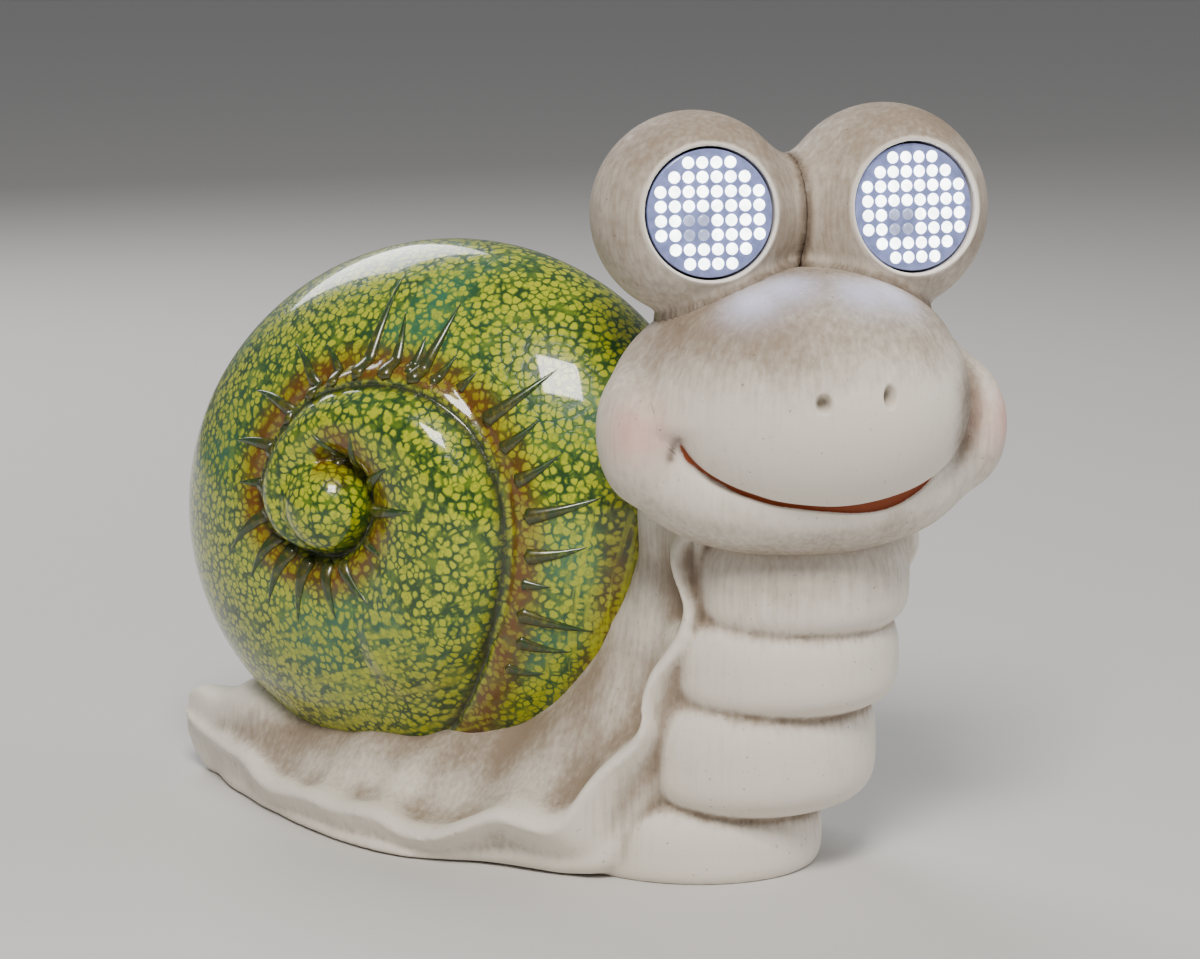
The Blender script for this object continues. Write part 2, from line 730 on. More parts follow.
def ballDistance(local, side):
    return np.linalg.norm(local - ballMiddle(side), axis=1) - ballValues["radii"][side > 0]


def ballSkin(local):
    pair = blended(ballDistance(local, -1), ballDistance(local, 1), ballValues["pairSoftness"])
    return blended(pair, headDistance(local), ballValues["headSoftness"])


# the head is made here, because its dirt lies where the balls stand on it
makeHead()
report("head")


def eyeFrame(side):
    # axes as columns (across, upward, ahead) and the middle of an eye ball, in metres
    splay, pitch = math.radians(side * ballValues["splay"]), math.radians(ballValues["pitch"])
    across = headTurn @ Vector((math.cos(splay), math.sin(splay), 0))
    level = headTurn @ Vector((math.sin(splay), -math.cos(splay), 0))
    ahead = level * math.cos(pitch) + Vector((0, 0, 1)) * math.sin(pitch)
    place = headPlace + headTurn @ (Vector(ballMiddle(side)) * mm)
    return np.array(Matrix((across, ahead.cross(across), ahead)).transposed()), np.array(place)


def lathed(name, profile, steps, side):
    # profile points are (radius, place along the eye's axis), in order round the section
    bpy.ops.mesh.primitive_circle_add(vertices=len(profile), radius=1)
    piece = named(bpy.context.active_object, name)
    writePoints(piece, np.array([(radius * mm, 0, along * mm) for radius, along in profile]))
    bpy.ops.object.mode_set(mode="EDIT")
    bpy.ops.mesh.select_all(action="SELECT")
    bpy.ops.mesh.spin(steps=steps, angle=2 * math.pi, center=(0, 0, 0), axis=(0, 0, 1))
    bpy.ops.mesh.select_all(action="SELECT")
    bpy.ops.mesh.remove_doubles(threshold=1e-6)
    bpy.ops.mesh.normals_make_consistent(inside=False)
    bpy.ops.object.mode_set(mode="OBJECT")
    axes, place = eyeFrame(side)
    writePoints(piece, readPoints(piece) @ axes.T + place)
    return piece


def ballProfile(radius):
    # outer skin from front to back, rolled rear edge, inner skin back to the front, rolled front edge
    edge, front, rear = (ballValues[key] for key in ("edge", "frontHole", "rearHole"))
    inner = radius - ballValues["wall"]
    rearRim, frontRim = -math.sqrt(radius**2 - rear**2), math.sqrt(radius**2 - front**2)
    outerEnds = math.asin((front + edge) / radius), math.pi - math.asin((rear + edge) / radius)
    innerEnds = math.pi - math.asin(rear / inner), math.asin(front / inner)
    profile = [(radius * math.sin(angle), radius * math.cos(angle)) for angle in np.linspace(*outerEnds, 110)]
    for quarter in np.linspace(0.2, 1, 5) * math.pi / 2:
        along = rearRim + 0.2 + edge * (1 - math.cos(quarter)) * 0.8
        profile.append((rear + edge * (1 - math.sin(quarter)), along))
    profile += [(inner * math.sin(angle), inner * math.cos(angle)) for angle in np.linspace(*innerEnds, 24)]
    holeStart = math.sqrt(inner**2 - front**2) + 1
    profile += [(front, along) for along in np.linspace(holeStart, frontRim - edge, 4)]
    for quarter in np.linspace(0.2, 0.9, 5) * math.pi / 2:
        along = frontRim - edge + edge * math.sin(quarter) * 0.8
        profile.append((front + edge * (1 - math.cos(quarter)), along))
    return profile


def ballWash(points):
    height = headLocal(points)[:, 2]
    return washed(ballValues["wash"], top=smoothStep(height, 84, 104), low=1 - smoothStep(height, 50, 64))


def makeEyeBall(side, name):
    radius = ballValues["radii"][side > 0]
    piece = lathed(f"eye_ball_shape_{name}", ballProfile(radius), ballValues["steps"], side)
    local = headLocal(readPoints(piece))
    outward = local - ballMiddle(side)
    reach = np.linalg.norm(outward, axis=1)
    outward = outward / reach[:, None]
    # the outer skin moves out to where it flows into the head and the other ball
    skinReach = np.full(len(local), radius)
    least, most = ballValues["flare"]
    for _ in range(ballValues["skinRounds"]):
        here = ballSkin(ballMiddle(side) + outward * skinReach[:, None])
        skinReach = np.clip(skinReach - ballValues["skinShare"] * here, radius + least, radius + most)
    skin = smoothStep(reach, *(radius - depth for depth in ballValues["skinDepths"]))
    local = local + outward * ((skinReach - radius) * skin)[:, None]
    across, toHead = side * local[:, 0], headDistance(local)
    seam = np.maximum(bell(across, ballValues["pairSeam"]), 0.8 * bell(toHead, ballValues["headSeam"])) * skin
    local = local - outward * (ballValues["seamDepth"] * seam)[:, None]
    local[:, 0] = side * np.maximum(side * local[:, 0], ballValues["gap"])
    points = headWorld(local)
    writePoints(piece, points)
    paintCeramic(piece, ballWash)
    near = (1 - smoothStep(toHead, 0.3, 3.8)) + (1 - smoothStep(across, 0.2, 3.2)) * skin
    axes, place = eyeFrame(side)
    along = (points - place) @ axes[:, 2]
    fromAxis = np.sqrt(np.maximum(np.sum((points - place) ** 2, axis=1) - along**2, 0)) / mm
    rim = 1 - smoothStep(fromAxis, *(ballValues["frontHole"] + width for width in ballValues["rim"]))
    rim = rim * (along > 0)
    paint(piece, "dirt", ballValues["seamDirt"] * smoothStep(near, 0.1, 1.3) * (1 - rim))
    paint(piece, "wash", ballWash(points) + ballValues["seamWash"] * near + ballValues["rimWash"] * rim)
    return finished(piece, "figure", [f"eye_ball_{name}"], bisqueCeramic)


for eyeSide, eyeName in ((-1, "right"), (1, "left")):
    makeEyeBall(eyeSide, eyeName)
report("eye balls")

# Body: foot, mantle and neck drawn out along stations, with the belly rings pressed on
bodyValues = dict(
    lipThickness=5.6,
    neckThinning=1.8,
    lipRound=2.4,
    tipWidth=14,  # the lip thins where the tail is narrower than this
    neckHeights=(24, 44),  # the foot's form eases into the neck's between these
    mantleSag=5.4,
    neckSag=1.5,
    sagLength=42,
    mantleSagShare=0.27,
    wallBulge=0.6,
    underLip=1.6,
    around=320,
    along=420,
    voxel=1.3,
    rubs=4,
    ringSquareness=3.2,
    ringSag=0.20,
    dentDepth=1.4,
    wash=dict(all=0.12, mantle=0.66, underChin=0.30),
    washSpread=120,
)

# each station: lip, top of the mantle at the shell, sole edge, belly middle (y, z), back middle
# (y, z), and how far the lip on the far side stands from the near one's mirror image (x, y)
bodyStations = [
    ((-4, 171, 23), (-3, 170, 28), (-4, 170, 15), (170, 13), (170, 29), (0, 0)),
    ((-9, 166.5, 21.5), (-5, 164, 30.5), (-6, 164, 7), (164, 5), (163, 32), (0, 0)),
    ((-15, 157, 19.5), (-9, 155, 30), (-8, 156, 1), (156, 0), (155, 32), (0, 0)),
    ((-20, 148, 18), (-14, 146, 31), (-11, 148, 0), (148, 0), (146, 34), (0, 1)),
    ((-30, 132, 17), (-21, 131, 37), (-23, 132, 0), (132, 0), (131, 42), (0, 1)),
    ((-38, 117, 16), (-24.5, 117, 38.5), (-31, 117, 0), (117, 0), (117, 50), (0, 0)),
    ((-46, 104, 12.5), (-26, 104, 34.5), (-38, 104, 0), (104, 0), (104, 50), (0, 0)),
    ((-52, 92, 11), (-28, 92, 32.5), (-43, 92, 0), (92, 0), (92, 50), (1, 0)),
    ((-57, 80, 12.5), (-31, 80, 33), (-49, 80, 0), (80, 0), (80, 50), (0, 0)),
    ((-62.5, 66, 13.5), (-35, 66, 34.5), (-54.5, 66, 0), (66, 0), (66, 50), (0, 0)),
    ((-66, 53.5, 12.5), (-38, 53.5, 35.5), (-59, 53.5, 0), (53.5, 0), (53.5, 50), (0, 0)),
    ((-68.5, 42, 13.5), (-37, 42, 36), (-62, 42, 0), (42, 0), (42, 50), (1, 0)),
    ((-70.5, 30, 13.4), (-36, 30, 37), (-64, 30, 0), (30, 0), (30, 52), (0, 0)),
    ((-72, 18, 10), (-34, 18, 38), (-63.5, 18, 0), (18, 0), (18, 54), (0, 0)),
    ((-73, 4, 10.6), (-31, 4, 42), (-59, 4, 0), (4, 0), (4, 56), (0, 0)),
    ((-72.5, -8, 15.5), (-29.5, -8, 46), (-55, -8, 0), (-8, 0), (-6, 58), (0, 0)),
    ((-71, -20, 20.6), (-28, -19, 54), (-54, -20, 0), (-20, 0), (-14, 62), (0, 0)),
    ((-70, -30, 19.8), (-28, -27, 62), (-53.5, -31, 0), (-31, 0), (-18, 70), (0, 0)),
    ((-68.5, -40, 18), (-28, -33, 69), (-52, -43, 0), (-45, 0), (-22, 78), (0, 0)),
    ((-66, -47, 21), (-28, -38, 75), (-50, -58, 3), (-66, 2), (-26, 86), (0, -1)),
    ((-62, -53, 31), (-28, -40, 79), (-46, -66, 14), (-80, 12), (-28, 92), (0, -2)),
    ((-58, -59, 39), (-28, -42, 83), (-42, -72, 26), (-88, 24), (-30, 96), (-1, -4)),
    ((-54, -67, 46.5), (-28, -43, 86), (-39, -77, 38), (-94, 36), (-32, 100), (-1, -5)),
    ((-52, -71, 54), (-27.5, -45, 90), (-37, -80, 48), (-99, 48), (-34, 104), (0, -6)),
    ((-50, -70, 62), (-27, -47, 94), (-36, -82, 58), (-102, 58), (-36, 108), (1, -9)),
    ((-48, -72, 71), (-26.5, -49, 99), (-35.5, -84, 68), (-105, 68), (-37, 112), (2, -12)),
    ((-46, -77, 78), (-26.5, -51, 104), (-35, -86, 77), (-108, 78), (-38, 116), (3.5, -13)),
    ((-43.5, -82, 87), (-26, -52.5, 109), (-34.5, -88, 86), (-111, 88), (-39, 120), (7, -21)),
    ((-41.5, -83, 96), (-26, -53, 114), (-34, -88, 95), (-112, 98), (-40, 124), (9.5, -29)),
    ((-40.5, -78, 106), (-26.5, -53, 120), (-33.5, -87, 105), (-112, 106), (-42, 128), (9.5, -37)),
    ((-39.5, -76, 114), (-27, -53, 127), (-33, -86, 114), (-111, 114), (-44, 131), (8.5, -41)),
    ((-37, -81, 124), (-27, -54, 132), (-33, -86, 122), (-108, 124), (-46, 134), (8, -38)),
]

# each belly ring: middle, then half width, reach and half height, and its turn
bellyRings = [
    ((-5.8, -62, 13.5), (45, 48, 20.5), 0),
    ((-0.5, -85, 47.5), (46, 42.5, 27), -4),
    ((1, -93, 79.5), (44.5, 43, 23), -6.5),
    ((-1, -104, 107.5), (40.5, 35, 22), -19.7),
]
# shallow dents in the mantle behind the lip: start and end (x, y) and width
mantleDents = [
    ((-38, 34), (-56, 46), 7.0), ((-32, -4), (-56, -2), 7.0), ((-34, 66), (-50, 74), 6.5),
    ((40, 24), (58, 38), 7.0), ((34, -14), (58, -10), 7.0), ((32, 70), (48, 78), 6.5),
]


def oneLong(vector):
    return vector / max(np.linalg.norm(vector), 1e-6)


def sideOfStation(side, lip, top, sole, farShift):
    # seven points up one side, from the sole's edge over the lip to the mantle's top
    mirror = np.array((-side, 1, 1))
    shift = np.array((*farShift, 0)) * (side > 0)
    edge, ground = (np.array(place) * mirror + shift for place in (lip, sole))
    shellTop = np.array(top) * mirror
    inward, upward = oneLong((ground + shellTop) / 2 - edge), oneLong(shellTop - ground)
    neck = float(smoothStep(np.array(lip[2]), *bodyValues["neckHeights"]))
    thickness = bodyValues["lipThickness"] - bodyValues["neckThinning"] * neck
    half = thickness / 2 * min(1, abs(lip[0]) / bodyValues["tipWidth"])
    lower = edge + inward * bodyValues["lipRound"] - upward * half
    upper = edge + inward * bodyValues["lipRound"] + upward * half
    wall = (ground + lower) / 2 - inward * bodyValues["wallBulge"] * (1 - neck)
    wall = wall + inward * bodyValues["underLip"] * neck
    climb = shellTop - upper
    length = np.linalg.norm(climb)
    outOfMantle = oneLong(inward - climb * (inward @ climb) / length**2)
    sag = bodyValues["mantleSag"] + bodyValues["neckSag"] * neck
    sag = sag * min(1, length / bodyValues["sagLength"]) ** 1.6
    valley = upper + climb * bodyValues["mantleSagShare"] + outOfMantle * sag
    return [ground, wall, lower, edge, upper, valley, shellTop]


def bodyRails():
    rails = []
    for lip, top, sole, belly, spine, farShift in bodyStations:
        near, far = (sideOfStation(side, lip, top, sole, farShift) for side in (-1, 1))
        rails.append([np.array((0, *belly)), *near, np.array((0, *spine)), *far[::-1]])
    return np.array(rails)


def makeTrunk():
    # a ball's points are moved: its rings become the stations and its meridians run along them
    trunk = roundBall(bodyValues["around"], bodyValues["along"])
    unit = readPoints(trunk)
    rails = bodyRails()
    share = np.arccos(np.clip(unit[:, 2], -1, 1)) / math.pi
    angle = (np.arctan2(unit[:, 1], unit[:, 0]) / (2 * math.pi)) % 1
    stations = through(rails, share * (len(rails) - 1))
    places = angle * rails.shape[1]
    first = np.floor(places).astype(int)
    rows = np.arange(len(unit))
    near = [stations[rows, (first + step) % rails.shape[1]] for step in (-1, 0, 1, 2)]
    points = cubic(*near, (places - first)[:, None])
    poles = np.abs(unit[:, 2]) > 0.999999
    for pole, end in ((1, 0), (-1, -1)):
        points[poles & (unit[:, 2] * pole > 0)] = rails[end].mean(axis=0)
    writePoints(trunk, points * mm)
    return trunk


def makeRing(place, half, ringTurn):
    # a ball squared off above and below, like a pressed cushion
    cushion = roundBall(128, 64)
    unit = readPoints(cushion)
    level = unit[:, 2]
    flat = np.hypot(unit[:, 0], unit[:, 1])
    squareness = bodyValues["ringSquareness"]
    lowered = level + bodyValues["ringSag"] * (1 - level**2)
    newFlat = np.clip(1 - np.abs(lowered) ** squareness, 0, None) ** (1 / squareness)
    unit[:, :2] *= (newFlat / np.maximum(flat, 1e-6))[:, None]
    ringAxes = np.array(Matrix.Rotation(math.radians(ringTurn), 3, "Z"))
    writePoints(cushion, ((unit * np.array(half)) @ ringAxes.T + np.array(place)) * mm)
    return cushion


def makeBody():
    body = joined("snail_body", [makeTrunk()] + [makeRing(*ring) for ring in bellyRings])
    flatBase = dict(plane_co=(0, 0, 0), plane_no=(0, 0, 1), clear_inner=True, use_fill=True)
    facesOutward(body, (bpy.ops.mesh.bisect, flatBase))
    pressed(body, bodyValues["voxel"], bodyValues["rubs"])
    points = readPoints(body)
    upward = np.clip(readNormals(body)[:, 2], 0, 1)
    dent = np.zeros(len(points))
    for start, end, width in mantleDents:
        reach, _ = toLine(points[:, 0] / mm, points[:, 1] / mm, [start, end])
        dent = np.maximum(dent, bell(reach, width))
    points[:, 2] -= bodyValues["dentDepth"] * dent * upward * (points[:, 2] < 0.05) * mm
    points[:, 2] = np.maximum(points[:, 2], 0)
    writePoints(body, points)
    paintCeramic(body, bodyWash, bodyValues["washSpread"])
    return finished(body, "figure", ["body"], bisqueCeramic)


def bodyWash(points):
    outward, along, up = np.abs(points[:, 0]) / mm, points[:, 1] / mm, points[:, 2] / mm
    mantle = band(outward, 20, 34, 34, 62) * smoothStep(up, 16, 30) * smoothStep(along, -66, -40)
    return washed(bodyValues["wash"], mantle=mantle, underChin=smoothStep(up, 86, 112))


makeBody()
report("body")

# Shell: a big oval with one raised whorl and an apex ball on each side
shellValues = dict(
    half=(62, 113, 98), place=(0, 47.5, 114.5), tilt=18.0, spire=(60.8, 121.6),
    apexRadius=18.0, apexHeight=70.0, reach=73.0, crest=64.5, spread=0.57, depthShare=0.42, leastDepth=6.0,
    segments=256, rings=136, finer=(9.0, 3.2),  # faces are cut finer this near the groove
    valleyDepth=4.4, valleyWidth=6.0, valleyNarrowing=0.35, creaseDepth=1.7, creaseWidth=1.2,
    spireDip=5.0, spireDipWidth=30.0, apexEdge=2.5, grooveEnds=(-76, -62, 425, 454), rubs=3,
)
whorlStations = [
    (-110, 0.25, 0.62, 0.60), (-95, 0.25, 0.80, 0.76), (-68, 0.25, 1.04, 0.91), (-40, 0.25, 1.06, 0.98),
    (-12, 0.25, 1.03, 1.00), (15, 0.25, 1.00, 1.00), (42, 0.25, 0.90, 1.01), (68, 0.24, 0.75, 1.01),
    (95, 0.23, 0.57, 1.00), (121, 0.22, 0.47, 1.00), (148, 0.22, 0.42, 1.00), (175, 0.22, 0.41, 1.00),
    (204, 0.22, 0.37, 0.99), (228, 0.22, 0.31, 0.96), (252, 0.22, 0.25, 0.92),
]
# the groove between the whorls: winding round the spire in degrees, and distance from it
grooveTurns = [
    (-75, 95), (-60, 86), (-35, 76), (-10, 73), (15, 71), (42, 63), (60, 52), (81, 43), (121, 32.6),
    (158, 28.6), (181, 28.5), (204, 26.4), (244, 20.3), (305, 17.4), (358, 18.3), (403, 19.3), (454, 20),
]


def whorlHeight(radius, angle):
    # height of the raised whorl over the middle plane, seen along the spire's axis
    stations = np.array(whorlStations, float)
    height = np.full(len(radius), -1e3)
    for wrap in (-360, 0, 360):
        winding = angle + wrap
        inside = (winding >= stations[0, 0]) & (winding <= stations[-1, 0])
        inner, outer, crest = (np.interp(winding, stations[:, 0], stations[:, row]) for row in (1, 2, 3))
        width = (outer - inner) * shellValues["reach"]
        depth = np.maximum(width * shellValues["depthShare"], shellValues["leastDepth"])
        middle = (outer + inner) / 2 * shellValues["reach"]
        share = np.abs(radius - middle) / (width * shellValues["spread"])
        bulge = crest * shellValues["crest"] - depth * (1 - np.sqrt(np.clip(1 - share**2, 0, 1)))
        bulge = np.where(inside & (share < 1), bulge, -1e3)
        height = np.maximum(height, bulge)
    return height


def grooveReach(winding):
    windings, reaches = np.array(grooveTurns, float).T
    eased = [np.interp(winding + shift, windings, reaches) for shift in (-12, 0, 12)]
    return 0.25 * eased[0] + 0.5 * eased[1] + 0.25 * eased[2]


def fromGroove(radius, angle):
    # how far outside the nearest turn of the groove a point lies, and the winding there
    nearest, nearestWinding = np.full(len(radius), 1e3), np.zeros(len(radius))
    for wrap in (-360, 0, 360):
        winding = angle + wrap
        inside = (winding >= grooveTurns[0][0]) & (winding <= grooveTurns[-1][0])
        outside = np.where(inside, radius - grooveReach(winding), 1e3)
        closer = np.abs(outside) < np.abs(nearest)
        nearest = np.where(closer, outside, nearest)
        nearestWinding = np.where(closer, winding, nearestWinding)
    return nearest, nearestWinding


def roundSpire(points):
    # distance from the spire's axis and angle round it, for points in millimetres
    ahead = shellValues["spire"][0] - points[:, 1]
    up = points[:, 2] - shellValues["spire"][1]
    return np.hypot(ahead, up), np.degrees(np.arctan2(up, ahead))


def onOval(unit):
    tilt = math.radians(shellValues["tilt"])
    spread = unit * np.array(shellValues["half"])
    turned = np.stack([
        spread[:, 0],
        spread[:, 1] * math.cos(tilt) + spread[:, 2] * math.sin(tilt),
        spread[:, 2] * math.cos(tilt) - spread[:, 1] * math.sin(tilt),
    ], axis=1)
    return turned + np.array(shellValues["place"])


# patches of bluer glaze: angle and distance round the spire, and size
tealPatches = [
    (140, 78, 26), (68, 78, 24), (170, 60, 18), (-95, 46, 24),
    (-45, 55, 18), (-8, 104, 22), (-30, 100, 20), (20, 106, 16),
]


# bands painted round the spire: the angles below its level where each eases in and out again, and
# the distances from the spire between which it starts
paintBands = dict(
    streakLow=((35, 60, 105, 130), (42, 54)),
    streakRim=((-15, 5, 40, 55), (92, 100)),
    amberRim=((-10, 10, 50, 70), (102, 109)),
)


def paintShell(shell, radius, angle, outside, winding, crease, started):
    bands = {}
    for name, (ends, start) in paintBands.items():
        bands[name] = band(-angle, *ends) * smoothStep(radius, *start)
    paint(shell, "crust", crease**0.6 * started)
    amber = band(outside, 0.5, 4.5, 8, 19) * started
    apexCurl = smoothStep(winding, 380, 430) * (1 - smoothStep(np.abs(outside + 2), 3, 8))
    paint(shell, "amber", np.max([amber, 0.8 * apexCurl, 0.8 * bands["amberRim"]], axis=0))
    ahead, up = radius * np.cos(np.radians(angle)), radius * np.sin(np.radians(angle))
    teal = []
    for turn, reach, size in tealPatches:
        turn = math.radians(turn)
        teal.append(bell(np.hypot(ahead - reach * math.cos(turn), up - reach * math.sin(turn)), size))
    paint(shell, "teal", np.max(teal, axis=0))
    for name in ("streakLow", "streakRim"):
        paint(shell, name, bands[name])


def makeShell():
    shell = settle(roundBall(shellValues["segments"], shellValues["rings"], rotation=(0, math.pi / 2, 0)))
    named(shell, "snail_shell")
    for near in shellValues["finer"]:
        outside, _ = fromGroove(*roundSpire(onOval(faceMiddles(shell))))
        refine(shell, np.abs(outside) < near)
    unit = readPoints(shell)
    unit = unit / np.linalg.norm(unit, axis=1)[:, None]
    points = onOval(unit)
    radius, angle = roundSpire(points)
    side = np.where(unit[:, 0] < 0, -1, 1)
    height = np.abs(points[:, 0])
    dip = shellValues["spireDip"] * bell(radius, shellValues["spireDipWidth"])
    height = np.where(height > 30, height - dip, height)
    apexRadius = shellValues["apexRadius"]
    apex = shellValues["apexHeight"] - apexRadius + np.sqrt(np.clip(apexRadius**2 - radius**2, 0, None))
    apex = np.where(radius < apexRadius, apex, -1e3)
    outside, winding = fromGroove(radius, angle)
    started = band(winding, *shellValues["grooveEnds"])
    narrowing = 1 - shellValues["valleyNarrowing"] * smoothStep(winding, 230, 300)
    crease = bell(outside, shellValues["creaseWidth"])
    valley = shellValues["valleyDepth"] * bell(outside, shellValues["valleyWidth"] * narrowing)
    valley = (valley + shellValues["creaseDepth"] * crease) * started
    onBall = radius < apexRadius - shellValues["apexEdge"]
    tall = np.maximum(height, whorlHeight(radius, angle)) - np.where(onBall, 0, valley)
    tall = np.maximum(tall, np.where(onBall, apex, apex - 0.6 * valley))
    points[:, 0] = side * np.maximum(tall, np.minimum(height, 20))
    writePoints(shell, averaged(points * mm, readEdges(shell), shellValues["rubs"]))
    paintShell(shell, radius, angle, outside, winding, crease, started)
    return finished(shell, "figure", ["shell"], shellGlazeMaterial)


thornValues = dict(
    rootHalf=3.3, rise=2.1, sink=1.2, bend=0.35, segments=16, rings=26,
    rootEase=(-0.01, 0.10), tipPower=0.85, crestPower=1.25, leastSize=0.45, fullLength=40,
    amberRoot=(0.25, 0.75),
)
# each thorn: winding of its root, how far outside the groove it starts, length and lean
thorns = [
    (-38, 9, 13, 21), (-30, 10, 17, 12), (-23, 8, 24, 5), (-15, 8, 10, 7), (-8, 8, 21, 14), (2, 8, 26, 11),
    (11, 7, 18, 18), (20, 6, 17, 17), (29, 5, 29, 9), (41, 7, 9, 5), (48, 5, 12, 5), (57, 6, 13, 16),
    (53, 2, 30, 15), (62, 2, 23, 24), (74, 2, 36, 10), (85, 1, 18, 33), (99, 0, 25, 27), (118, -1, 26, 32),
    (143, -2, 25, 25), (170, -2, 17, 9), (190, -2, 29, 21), (209, -1, 25, 16), (225, 0, 27, 13),
    (246, 1, 26, 9), (269, 1, 22, 11), (290, 2, 20, 17), (329, 2, 11, 4), (361, 1, 25, 5), (386, 1, 18, 5),
    (408, 0, 15, 19), (427, -3, 14, 40),
]


def headingOf(angles):
    return np.stack([np.cos(angles), np.sin(angles)], axis=-1)


def drape(shell, side, spots, heights):
    # each spot round the spire is found on the shell's skin from within, and lifted by its height
    points = np.empty((len(spots), 3))
    for index, (ahead, high) in enumerate(spots):
        back, up = shellValues["spire"][0] - ahead, shellValues["spire"][1] + high
        _, place, normal, _ = shell.ray_cast((side * 0.2, back * mm, up * mm), (-side, 0, 0))
        points[index] = np.array(place) + np.array(normal) * heights[index] * mm
    return points


def makeThorns(shell):
    ridge = settle(roundBall(thornValues["segments"], thornValues["rings"], rotation=(0, math.pi / 2, 0)))
    unit = readPoints(ridge)
    along = np.arccos(np.clip(-unit[:, 0], -1, 1)) / math.pi
    flat = np.maximum(np.hypot(unit[:, 1], unit[:, 2]), 1e-6)
    across, up = unit[:, 1] / flat, unit[:, 2] / flat
    taper = np.minimum(smoothStep(along, *thornValues["rootEase"]), (1 - along) ** thornValues["tipPower"])
    crest = np.sign(up) * np.abs(up) ** thornValues["crestPower"]
    bpy.context.view_layer.update()
    made = []
    for side in (-1, 1):
        for winding, start, length, lean in thorns:
            size = min(1.0, thornValues["leastSize"] + length / thornValues["fullLength"])
            root = (float(grooveReach(np.array(float(winding)))) + start) * headingOf(math.radians(winding))
            bend = 1 - thornValues["bend"] + 2 * thornValues["bend"] * along
            heading = np.radians(winding + lean * bend)
            width = across * taper * thornValues["rootHalf"] * size
            spots = root + headingOf(heading) * (along * length)[:, None]
            spots = spots + headingOf(heading + math.pi / 2) * width[:, None]
            heights = taper * crest * np.where(crest > 0, thornValues["rise"] * size, thornValues["sink"])
            thorn = copied(ridge)
            writePoints(thorn, drape(shell, side, spots, heights))
            made.append(thorn)
    bpy.data.objects.remove(ridge)
    piece = joined("shell_thorns", made)
    facesOutward(piece)
    paint(piece, "root", np.tile(1 - smoothStep(along, *thornValues["amberRoot"]), len(made)))
    return finished(piece, "figure", [], thornGlaze)


makeThorns(makeShell())
report("shell")

# Lenses: a clear disc with rows of glowing lenslets
lensValues = dict(
    radius=21.6, back=23.0, front=26.0, edge=0.7, lenslet=(2.02, 2.02, 0.7), pitch=4.85,
    rows=(4, 6, 8, 8, 8, 8, 6, 4), dimRows=(4, 5), dimColumns=(2, 3),
)
# colour and glow of the lit lenslets, the dim ones and the plate between them
lensLooks = dict(
    litLens=((0.93, 0.96, 1.0), 8.0),
    dimLens=((0.42, 0.48, 0.72), 0.6),
    plateLens=((0.22, 0.26, 0.52), 0.33),
)


def makeLensMaterial(name, colour, glow):
    material, tree, shader = newMaterial(name)
    cloud = grain(tree, objectPlace(tree), 260.0, 3, 0.5)
    shaded = tuple(0.75 * value for value in colour)
    tint = blendColour(tree, ramp(tree, cloud, 0.35, 0.65), shaded, colour)
    dress(tree, shader, {"Base Color": tint, "Emission Color": tint, "Emission Strength": glow})
    dress(tree, shader, {"Roughness": 0.12, "Coat Weight": 0.6})
    relief(tree, shader, cloud, 0.08, 0.0002)
    return material


def lensSpots(dim):
    # middles of the lit or the dim lenslets, row by row from the top
    spots = []
    rows, pitch = lensValues["rows"], lensValues["pitch"]
    for row, count in enumerate(rows):
        for column in range(count):
            dark = row in lensValues["dimRows"] and column in lensValues["dimColumns"]
            if dark == dim:
                spots.append(((column - (count - 1) / 2) * pitch, ((len(rows) - 1) / 2 - row) * pitch))
    return spots


def makeLens(side, name):
    radius, back, front, edge = (lensValues[key] for key in ("radius", "back", "front", "edge"))
    profile = [(0, back), (radius - edge, back), (radius, back + edge), (radius, front - edge)]
    for share in np.linspace(0.25, 1, 4):
        quarter = share * math.pi / 2
        profile.append((radius - edge * (1 - math.cos(quarter)), front - edge + edge * math.sin(quarter)))
    profile.append((0, front))
    plate = lathed(f"lens_plate_{name}", profile, 128, side)
    finished(plate, f"lamp_{name}", [f"lens_{name}"], lensMaterials["plateLens"])
    axes, place = eyeFrame(side)
    for kind, dim in (("lit", False), ("dim", True)):
        dome = settle(ball("dome", lensValues["lenslet"], (0, 0, 0), 28, 14))
        shape = readPoints(dome)
        copies = []
        for across, upward in lensSpots(dim):
            copy = copied(dome)
            local = shape + np.array((across, upward, front)) * mm
            writePoints(copy, local @ axes.T + place)
            copies.append(copy)
        bpy.data.objects.remove(dome)
        lenslets = joined(f"lenslets_{kind}_{name}", copies)
        finished(lenslets, f"lamp_{name}", [], lensMaterials[f"{kind}Lens"])


lensMaterials = {name: makeLensMaterial(name, *look) for name, look in lensLooks.items()}
for eyeSide, eyeName in ((-1, "right"), (1, "left")):
    makeLens(eyeSide, eyeName)
report("lenses")

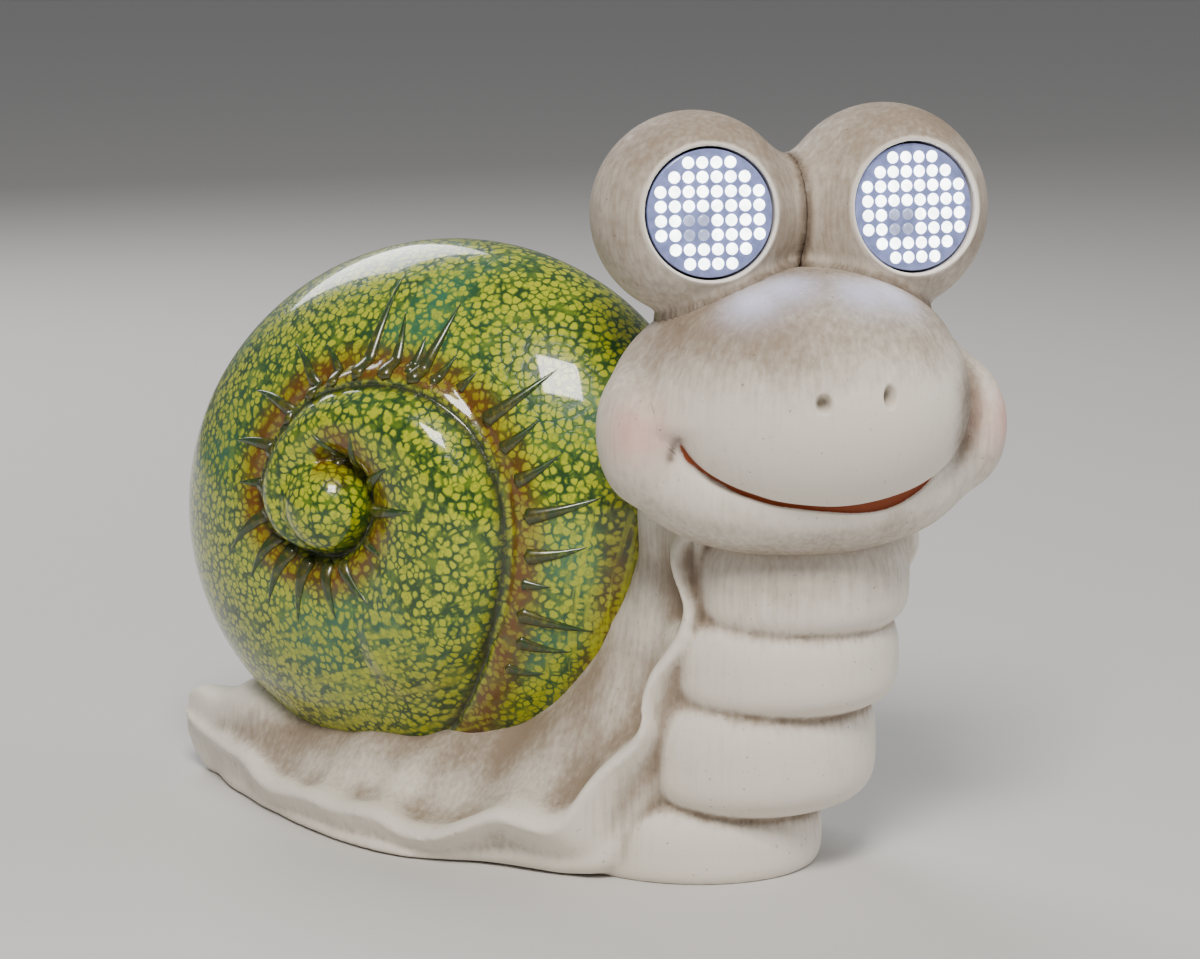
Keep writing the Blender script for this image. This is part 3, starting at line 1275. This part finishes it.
# Moulded parts that keep their own shapes: base and worn colours, grain size, roughness, metal
slotLooks = dict(
    housing_plastic=((0.040, 0.040, 0.043), (0.075, 0.072, 0.070), 900, 0.48, 0),
    seal_rubber=((0.012, 0.012, 0.013), (0.030, 0.030, 0.030), 1200, 0.75, 0),
    board_green=((0.010, 0.090, 0.030), (0.020, 0.130, 0.045), 500, 0.35, 0),
    led_resin=((0.85, 0.82, 0.60), (0.92, 0.90, 0.75), 400, 0.20, 0),
    reflector_white=((0.82, 0.83, 0.84), (0.70, 0.71, 0.72), 300, 0.30, 0),
    plated_steel=((0.62, 0.61, 0.58), (0.42, 0.40, 0.37), 1500, 0.28, 1),
    cell_sleeve=((0.02, 0.12, 0.035), (0.03, 0.16, 0.05), 250, 0.30, 0),
    window_clear=((0.030, 0.034, 0.060), (0.050, 0.055, 0.090), 200, 0.06, 0),
    solar_blue=((0.008, 0.014, 0.070), (0.020, 0.035, 0.130), 700, 0.22, 0),
    switch_black=((0.015, 0.015, 0.016), (0.040, 0.040, 0.040), 900, 0.50, 0),
    knob_grey=((0.30, 0.30, 0.30), (0.22, 0.22, 0.22), 900, 0.45, 0),
    lead_red=((0.45, 0.015, 0.010), (0.32, 0.010, 0.008), 600, 0.40, 0),
)
nodeSlots = dict(
    housing="housing_plastic", rear_cap="housing_plastic", cap_screws="plated_steel", seal_ring="seal_rubber",
    led_board="board_green", led="led_resin", reflector="reflector_white", cell="cell_sleeve",
    cell_clips="plated_steel", solar_window="window_clear", solar_cell="solar_blue",
    switch_body="switch_black", leads="lead_red", switch_knob="knob_grey",
)


# metal fingers printed across the solar cells
fingerLook = dict(scale=190.0, edge=(0.90, 0.97), colour=(0.45, 0.46, 0.50))


def makeMoulded(name, base, worn, size, roughness, metal):
    material, tree, shader = newMaterial(name)
    place = objectPlace(tree)
    fine = grain(tree, place, float(size), 4, 0.6)
    broad = grain(tree, place, size / 9, 3, 0.5)
    wear = plus(tree, times(tree, fine, 0.5), times(tree, broad, 0.5))
    colour = blendColour(tree, ramp(tree, wear, 0.42, 0.60), base, worn)
    if name == "solar_blue":
        waves = node(tree, "TexWave", {"bands_direction": "Z"}, Vector=place, Scale=fingerLook["scale"])
        fingers = ramp(tree, waves.outputs["Fac"], *fingerLook["edge"])
        colour = blendColour(tree, fingers, colour, fingerLook["colour"])
    rough = ramp(tree, fine, 0.3, 0.7, roughness * 0.85, min(1, roughness * 1.2))
    dress(tree, shader, {"Base Color": colour, "Roughness": rough, "Metallic": metal})
    relief(tree, shader, fine, 0.2, 0.0002)
    return material


mouldedLooks = {name: makeMoulded(name, *look) for name, look in slotLooks.items()}
for name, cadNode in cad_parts.items():
    kind = name.rsplit("_", 1)[0]
    if cadNode.hide_render or kind not in nodeSlots:
        continue
    cadNode.data.materials.clear()
    cadNode.data.materials.append(mouldedLooks[nodeSlots[kind]])
report("lamp parts")

# Floor and soft light
bpy.ops.mesh.primitive_plane_add(size=40, location=(0, 0, 0))
floor = bpy.context.active_object
floor.name = "studio_floor"
floorMaterial, floorTree, floorShader = newMaterial("paleFloor")
dress(floorTree, floorShader, {"Base Color": (0.62, 0.61, 0.60, 1), "Roughness": 0.8})
floor.data.materials.append(floorMaterial)


def softLight(name, place, size, power, aim=(0, -0.02, 0.12), colour=(1, 1, 1)):
    bpy.ops.object.light_add(type="AREA", location=place)
    lamp = bpy.context.active_object
    lamp.name = name
    lamp.data.size = size
    lamp.data.energy = power
    lamp.data.color = colour
    lamp.rotation_mode = "QUATERNION"
    lamp.rotation_quaternion = (Vector(aim) - Vector(place)).to_track_quat("-Z", "Y")
    return lamp


softLight("keyLight", (-1.2, -0.7, 1.6), 0.6, 45, colour=(1.0, 0.95, 0.88))
softLight("fillLight", (0.9, -1.6, 0.9), 1.3, 12, colour=(0.95, 0.97, 1.0))
softLight("rimLight", (0.8, 1.3, 1.2), 0.9, 18)
bpy.context.scene.world = bpy.data.worlds.new("studio")
bpy.context.scene.world.use_nodes = True
backdrop = bpy.context.scene.world.node_tree.nodes["Background"]
backdrop.inputs[0].default_value = (0.80, 0.81, 0.83, 1)
backdrop.inputs[1].default_value = 0.26
report("floor and light")
